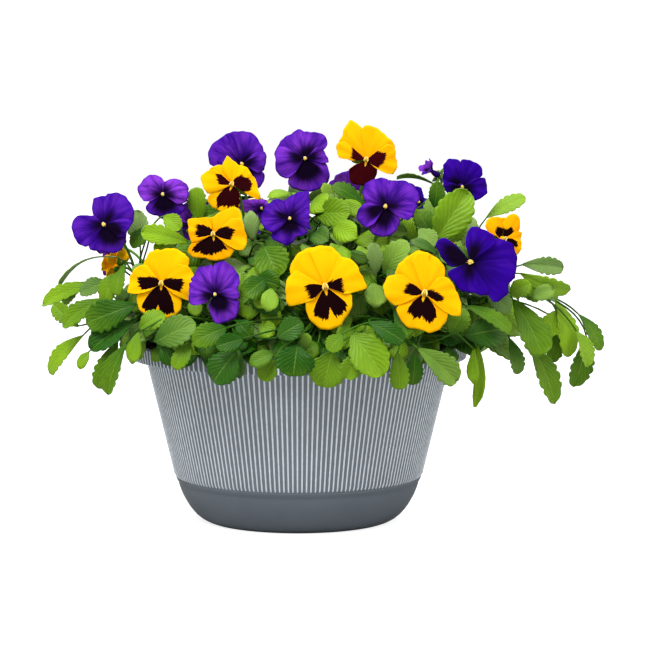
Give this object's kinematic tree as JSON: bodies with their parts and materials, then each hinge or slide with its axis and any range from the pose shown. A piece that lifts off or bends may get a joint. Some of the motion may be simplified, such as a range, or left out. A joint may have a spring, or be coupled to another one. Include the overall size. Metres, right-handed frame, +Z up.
{
  "type": "potted pansy planter",
  "caption": "Round ribbed planter with a rim band and a rounded foot, filled with potting soil and planted with a dense mound of large yellow and purple pansies",
  "frame": {"origin": "middle of the flat underside of the planter, on the surface it stands on", "axes": "+Z up, -Y the front as pictured, +X to the right seen from the front, along the widest reach of the leaves"},
  "size_m": [0.4978, 0.3618, 0.3559],
  "materials": {
    "planter_plastic": "slate grey moulded plastic, the fine rib crests rubbed off-white",
    "potting_mix": "dark crumbly potting mix of composted bark and peat",
    "leaf_green": "fresh green leaves and stems, satin, with veins",
    "petal_yellow": "velvety lemon yellow petals with a fringed dark maroon blotch",
    "petal_purple": "velvety violet petals with a darker middle and a small yellow eye"
  },
  "bodies": {
    "root": {"leafy_stem_back_crown": "leaf_green", "leafy_stem_back_left": "leaf_green", "leafy_stem_back_low_left": "leaf_green", "leafy_stem_back_middle": "leaf_green", "leafy_stem_back_near_right": "leaf_green", "leafy_stem_back_right": "leaf_green", "leafy_stem_back_side_right": "leaf_green", "leafy_stem_crown": "leaf_green", "leafy_stem_crown_left": "leaf_green", "leafy_stem_crown_right": "leaf_green", "leafy_stem_front_left": "leaf_green", "leafy_stem_front_middle": "leaf_green", "leafy_stem_front_right": "leaf_green", "leafy_stem_high_left": "leaf_green", "leafy_stem_high_right": "leaf_green", "leafy_stem_low_left": "leaf_green", "leafy_stem_middle": "leaf_green", "leafy_stem_middle_left": "leaf_green", "leafy_stem_shoulder_left": "leaf_green", "leafy_stem_shoulder_right": "leaf_green", "leafy_stem_side_left": "leaf_green", "leafy_stem_side_right": "leaf_green", "leafy_stem_spray_left": "leaf_green", "leafy_stem_spray_right": "leaf_green", "leafy_stem_upper_left": "leaf_green", "leafy_stem_upper_right": "leaf_green", "planter": "planter_plastic", "potting_soil": "potting_mix", "purple_bloom_09": "petal_purple", "purple_bloom_10": "petal_purple", "purple_bloom_11": "petal_purple", "purple_bloom_12": "petal_purple", "purple_bloom_13": "petal_purple", "purple_bloom_14": "petal_purple", "purple_bloom_15": "petal_purple", "purple_bloom_16": "petal_purple", "purple_bloom_17": "petal_purple", "purple_bloom_18": "petal_purple", "purple_bloom_19": "petal_purple", "purple_bloom_20": "petal_purple", "purple_bloom_25": "petal_purple", "purple_bloom_26": "petal_purple", "purple_bloom_27": "petal_purple", "purple_bloom_28": "petal_purple", "purple_bloom_29": "petal_purple", "purple_bloom_30": "petal_purple", "purple_bloom_31": "petal_purple", "purple_bloom_32": "petal_purple", "yellow_bloom_01": "petal_yellow", "yellow_bloom_02": "petal_yellow", "yellow_bloom_03": "petal_yellow", "yellow_bloom_04": "petal_yellow", "yellow_bloom_05": "petal_yellow", "yellow_bloom_06": "petal_yellow", "yellow_bloom_07": "petal_yellow", "yellow_bloom_08": "petal_yellow", "yellow_bloom_21": "petal_yellow", "yellow_bloom_22": "petal_yellow", "yellow_bloom_23": "petal_yellow", "yellow_bloom_24": "petal_yellow"}
  },
  "joints": []
}
